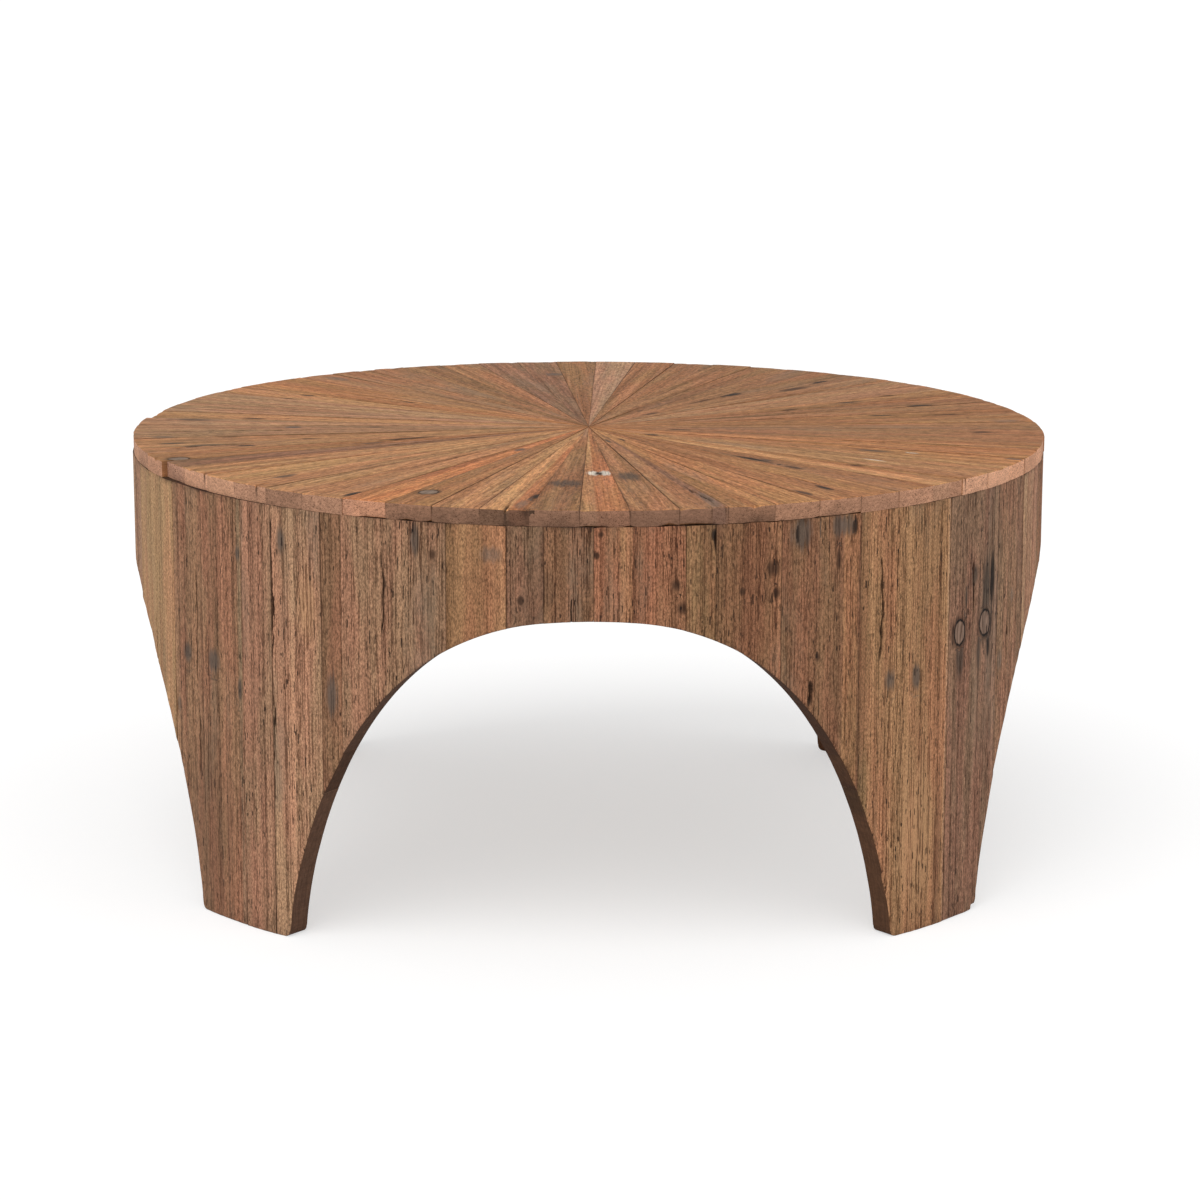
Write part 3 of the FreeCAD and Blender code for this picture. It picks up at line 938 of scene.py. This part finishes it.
def lay_knots(tree, colour, streaks, hairs):
    """Colours with the knots and patches of a board, and where a dark ring bounds a knot."""
    knot = channel(tree, "knot", "Vector")
    distance = add(tree, "VectorMath", {0: knot}, operation="LENGTH").outputs["Value"]
    ringed = channel(tree, "ring", "Fac")
    rough_streaks = remap(tree, streaks, 0.25, 0.75, -0.35, 0.35)
    rough_hairs = remap(tree, hairs, 0.25, 0.75, -0.2, 0.2)
    tattered = calculate(tree, "ADD", rough_streaks, rough_hairs)
    ragged = calculate(tree, "ADD", distance, tattered)
    heart = tint(tree, channel(tree, "heart", "Color"), remap(tree, streaks, 0.3, 0.7, 0.7, 1.25))
    cover = multiply(tree, remap(tree, ragged, 0.4, 1.2, 1, 0), channel(tree, "cover", "Fac"))
    colour = mix(tree, cover, colour, heart)
    halo = multiply(tree, remap(tree, ragged, 0.9, 1.55, 0.75, 0), ringed)
    colour = mix(tree, halo, colour, RING)
    edge = calculate(tree, "ADD", distance, multiply(tree, tattered, 0.2))
    whole = multiply(tree, remap(tree, edge, 0.78, 0.9, 1, 0), ringed)
    colour = mix(tree, whole, colour, heart)
    ring = multiply(tree, remap(tree, edge, 0.83, 0.93), remap(tree, edge, 0.95, 1.08, 1, 0))
    ring = multiply(tree, ring, ringed)
    return mix(tree, ring, colour, RING), ring


def lay_pores(tree, colour, grain, fibre):
    """Colours with the open pores of a board, and how open its fine and bold pores are."""
    fine_pores = open_pores(tree, grain, columns=1050, dash=17 * MM, low=0.35, high=0.6, share=0.4)
    bold_pores = open_pores(tree, grain, columns=950, dash=16 * MM, low=0.665, high=0.715, share=1)
    rough_areas = pattern(tree, grain, ROUGH_AREAS, 2)
    roughened = multiply(tree, remap(tree, rough_areas, 0.35, 0.6, 0.7, 1), channel(tree, "pores", "Fac"))
    fine_cover = multiply(tree, fine_pores, roughened)
    bold_cover = multiply(tree, bold_pores, roughened)
    shadowed = tint(tree, colour, PORE_SHADE)
    colour = mix(tree, multiply(tree, fine_cover, fibre), colour, shadowed)
    colour = mix(tree, multiply(tree, bold_cover, min(1.3 * fibre, 0.95)), colour, RING)
    return colour, fine_cover, bold_cover


def lay_nails(tree, colour, grain):
    """Colours with scattered nail holes, and where the holes are."""
    cells = add(tree, "TexVoronoi", {"Vector": grain, "Scale": 17.0})
    lot = add(tree, "SeparateColor", {0: cells.outputs["Color"]}).outputs[0]
    chosen = calculate(tree, "GREATER_THAN", lot, 0.7)
    nail = multiply(tree, remap(tree, cells.outputs["Distance"], 0.015, 0.04, 1, 0), chosen)
    return mix(tree, multiply(tree, nail, NAIL_COVER), colour, RING), nail


# Dirt, painted shade and darkening towards the floor, in one dark colour.
def lay_dirt_and_shade(tree, colour):
    return mix(tree, multiply(tree, channel(tree, "dirt_and_shade", "Fac"), DIRT_AND_SHADE_COVER), colour, DIRT_AND_SHADE)


def board_material(name, shading, streak, fibre, mottle, weather, relief):
    """Weathered board: streaks, open pores, grey patches, nail holes and knots, with dirt and painted shade.
    """
    material, tree = new_material(name)
    grain = channel(tree, "grain", "Vector")
    streaks = pattern(tree, grain, STREAKS, 3, 0.6)
    hairs = pattern(tree, grain, HAIRS, 2.5, 0.7)
    mottles = pattern(tree, grain, MOTTLES, 2)
    patches = pattern(tree, grain, PATCHES, 4, 0.6)
    colour = shaded_tone(tree, grain, shading)
    for layer, reach in ((streaks, streak), (hairs, 0.5 * fibre), (mottles, mottle)):
        colour = tint(tree, colour, remap(tree, layer, 0.32, 0.68, 1 + 0.8 * reach, 1 - reach))
    colour = mix(tree, remap(tree, patches, 0.52, 0.75, 0, weather), colour, GREYED)
    colour, ring = lay_knots(tree, colour, streaks, hairs)
    colour, fine_cover, bold_cover = lay_pores(tree, colour, grain, fibre)
    colour, nail = lay_nails(tree, colour, grain)
    colour = lay_dirt_and_shade(tree, colour)
    height = calculate(tree, "SUBTRACT", streaks, multiply(tree, hairs, 0.5))
    for hollow, depth in ((fine_cover, 0.5), (bold_cover, 1.0), (nail, 2.0), (ring, 0.8)):
        height = calculate(tree, "SUBTRACT", height, multiply(tree, hollow, depth))
    finish_shader(tree, colour, streaks, (0.7, 0.9), height, relief)
    return material


def end_material(name, shade, speckle, evenness=0.0):
    """Sawn wood across the grain: fine pores, saw marks, a little dirt with painted shade, and the painted
    light of the rim's ends.
    """
    material, tree = new_material(name)
    grain = channel(tree, "grain", "Vector")
    rings = pattern(tree, grain, (260, 20, 420), 3)
    specks = pattern(tree, grain, (1000, 500, 1000), 2, 0.6)
    saw_marks = pattern(tree, grain, (60, 260, 60), 2)
    colour = mix(tree, evenness, channel(tree, "tone", "Color"), EVEN_END)
    colour = tint(tree, colour, shade)
    # The ends' own tone, with painted light at the sides and painted shade at the front and on the left.
    colour = tint(tree, colour, channel(tree, "end_tone_and_painted_light", "Fac"))
    colour = tint(tree, colour, remap(tree, rings, 0.3, 0.7, 0.8, 1.15))
    colour = tint(tree, colour, remap(tree, saw_marks, 0.3, 0.7, 0.9, 1.08))
    spots = remap(tree, specks, 0.56, 0.66, 0, speckle)
    colour = lay_dirt_and_shade(tree, mix(tree, spots, colour, PORE))
    height = calculate(tree, "SUBTRACT", calculate(tree, "ADD", rings, saw_marks), spots)
    finish_shader(tree, colour, specks, (0.75, 0.92), height, 0.2 * MM)
    return material


def plywood_material():
    """Plywood: thin plies of turning grain on its edge, and a plain veneer on its faces."""
    material, tree = new_material("plywood")
    place = add(tree, "TexCoord", {}).outputs["Object"]
    veneer = pattern(tree, place, (6, 220, 40), 4)
    plies = add(tree, "TexWave", {"Vector": place, "Scale": 105.0, "Distortion": 0.4},
                wave_type="BANDS", bands_direction="Z").outputs["Fac"]
    colour = mix(tree, remap(tree, veneer, 0.3, 0.7), srgb(176, 140, 100), srgb(206, 172, 130))
    colour = mix(tree, remap(tree, plies, 0.4, 0.6, 0, 0.35), colour, srgb(120, 86, 56))
    finish_shader(tree, colour, veneer, (0.6, 0.8), veneer, 0.4 * MM)
    return material


def cleat_material():
    """Sawn softwood, with the grain along the ring."""
    material, tree = new_material("sawn_softwood")
    place = add(tree, "TexCoord", {}).outputs["Object"]
    level = add(tree, "VectorMath", {0: place, 1: (1, 1, 0)}, operation="MULTIPLY")
    radius = add(tree, "VectorMath", {0: level.outputs[0]}, operation="LENGTH").outputs["Value"]
    height = add(tree, "SeparateXYZ", {0: place}).outputs["Z"]
    section = add(tree, "CombineXYZ", {0: radius, 1: height}).outputs[0]
    rings = pattern(tree, section, (260, 260, 1), 2)
    fuzz = pattern(tree, place, (300, 300, 300), 3)
    colour = mix(tree, remap(tree, rings, 0.35, 0.65), srgb(190, 146, 98), srgb(216, 180, 132))
    colour = mix(tree, remap(tree, fuzz, 0.5, 0.75, 0, 0.3), colour, srgb(120, 84, 54))
    finish_shader(tree, colour, fuzz, (0.7, 0.9), fuzz, 0.5 * MM)
    return material


def steel_material():
    """Zinc-plated screw steel, slightly dulled."""
    material, tree = new_material("screw_steel")
    place = add(tree, "TexCoord", {}).outputs["Object"]
    dull = pattern(tree, place, (400, 400, 400), 3)
    colour = mix(tree, remap(tree, dull, 0.3, 0.7), srgb(150, 146, 136), srgb(196, 194, 188))
    finish_shader(tree, colour, dull, (0.3, 0.5), dull, 0.1 * MM, strength=0.3, metallic=1.0)
    return material


# The table

drum_face = board_material("drum_board", shading=0.17, streak=0.12, fibre=0.88, mottle=0.06, weather=0.5,
                           relief=0.8 * MM)
top_face = board_material("top_board", shading=0.25, streak=0.11, fibre=0.38, mottle=0.26, weather=0.4,
                          relief=0.4 * MM)
inside_face = end_material("sawn_inside", shade=(0.72, 0.68, 0.64), speckle=0.4)
# End grain of the arch cheeks and the stave heads: darker end grain, with painted shade, as both lie in
# shade.
cheek_face_with_painted_shade = end_material("arch_cheek_painted_shade", shade=(0.26, 0.24, 0.24), speckle=0.5)
rim_face = end_material("rim_end_grain", shade=(0.94, 0.99, 1.24), speckle=0.85, evenness=0.65)

for node in sorted(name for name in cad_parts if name.startswith("stave_") and name[6:].isdigit()):
    make_piece(node, [stave(node)], [drum_face, inside_face, cheek_face_with_painted_shade])

for quarter_number, quarter in enumerate(QUARTERS):
    node = "top_wedges_" + quarter
    first, last = azimuth_range(node)
    sweep = (last - first) / WEDGES_PER_QUARTER
    wedges = []
    for step in range(WEDGES_PER_QUARTER):
        edge = first + step * sweep
        wedges.append(wedge(quarter_number * WEDGES_PER_QUARTER + step + 1, edge, edge + sweep))
    make_piece(node, wedges, [top_face, inside_face, rim_face])

# Materials of the pieces that keep their CAD shape, by the start of their name.
steel = steel_material()
CARRIED_OVER = {
    "top_disc": plywood_material(), "ring_cleat": cleat_material(),
    "stave_screws": steel, "disc_screws": steel,
}
for name, node_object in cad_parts.items():
    for start, material in CARRIED_OVER.items():
        if name.startswith(start):
            for material_slot in node_object.material_slots:
                material_slot.material = material


# Stage, light and camera

def background_rays(tree):
    """1 for the rays that show the background: straight, by reflection or through glass."""
    path = add(tree, "LightPath", {})
    either = calculate(tree, "MAXIMUM", path.outputs["Is Camera Ray"], path.outputs["Is Glossy Ray"])
    return calculate(tree, "MAXIMUM", either, path.outputs["Is Transmission Ray"])


def make_floor():
    """A wide white floor that keeps the table's shadow."""
    half = 60.0
    corners = [(-half, -half, 0), (half, -half, 0), (half, half, 0), (-half, half, 0)]
    matt = {"Roughness": 0.95, "Specular IOR Level": 0.0}
    mesh = bpy.data.meshes.new("floor")
    mesh.from_pydata(corners, [], [(0, 1, 2, 3)])
    material, tree = new_material("studio_floor")
    plain = add(tree, "BsdfPrincipled", {"Base Color": (0.86, 0.86, 0.86, 1), **matt})
    shown = add(tree, "BsdfPrincipled", {
        "Base Color": (0.5, 0.5, 0.5, 1), "Emission Color": (1, 1, 1, 1), "Emission Strength": 0.55, **matt})
    either = add(tree, "MixShader", {0: background_rays(tree), 1: plain.outputs[0], 2: shown.outputs[0]})
    add(tree, "OutputMaterial", {"Surface": either.outputs[0]})
    mesh.materials.append(material)
    floor = new_object("floor", mesh)


def make_world():
    """White to look at, with a softer light on the table."""
    world = bpy.data.worlds.new("studio")
    world.use_nodes = True
    tree = world.node_tree
    tree.nodes.clear()
    ambient = add(tree, "Background", {"Color": (1, 1, 1, 1), "Strength": 0.55})
    white = add(tree, "Background", {"Color": (1, 1, 1, 1), "Strength": 1.0})
    shown = add(tree, "MixShader", {0: background_rays(tree), 1: ambient.outputs[0], 2: white.outputs[0]})
    add(tree, "OutputWorld", {"Surface": shown.outputs[0]})
    bpy.context.scene.world = world


def make_sun(name, strength, azimuth, elevation, softness):
    """A soft lamp, far away, that shines from an azimuth and elevation."""
    lamp = bpy.data.lights.new(name, "SUN")
    lamp.energy = strength
    lamp.angle = math.radians(softness)
    sun = new_object(name, lamp)
    sun.rotation_euler = (math.radians(90 - elevation), 0, math.radians(azimuth))


def make_camera():
    """The camera of the photograph: its place, its tilt below the level, its turn and its roll."""
    distance = 3.927
    height = 1.109
    tilt = math.radians(12.07)
    turn = math.radians(0.19)
    roll = math.radians(0.15)
    lens = bpy.data.cameras.new("camera")
    lens.sensor_width = 36.0
    lens.lens = 107.98
    camera = new_object("camera", lens)
    turned = Matrix.Rotation(-turn, 4, "Z") @ Matrix.Rotation(math.pi / 2 - tilt, 4, "X")
    camera.matrix_world = Matrix.Translation((0, -distance, height)) @ turned @ Matrix.Rotation(roll, 4, "Z")
    bpy.context.scene.camera = camera


make_floor()
make_world()
make_sun("key", strength=1.5, azimuth=-28, elevation=52, softness=50)
make_sun("fill", strength=0.6, azimuth=50, elevation=35, softness=70)
make_camera()
bpy.context.scene.view_settings.view_transform = "Standard"
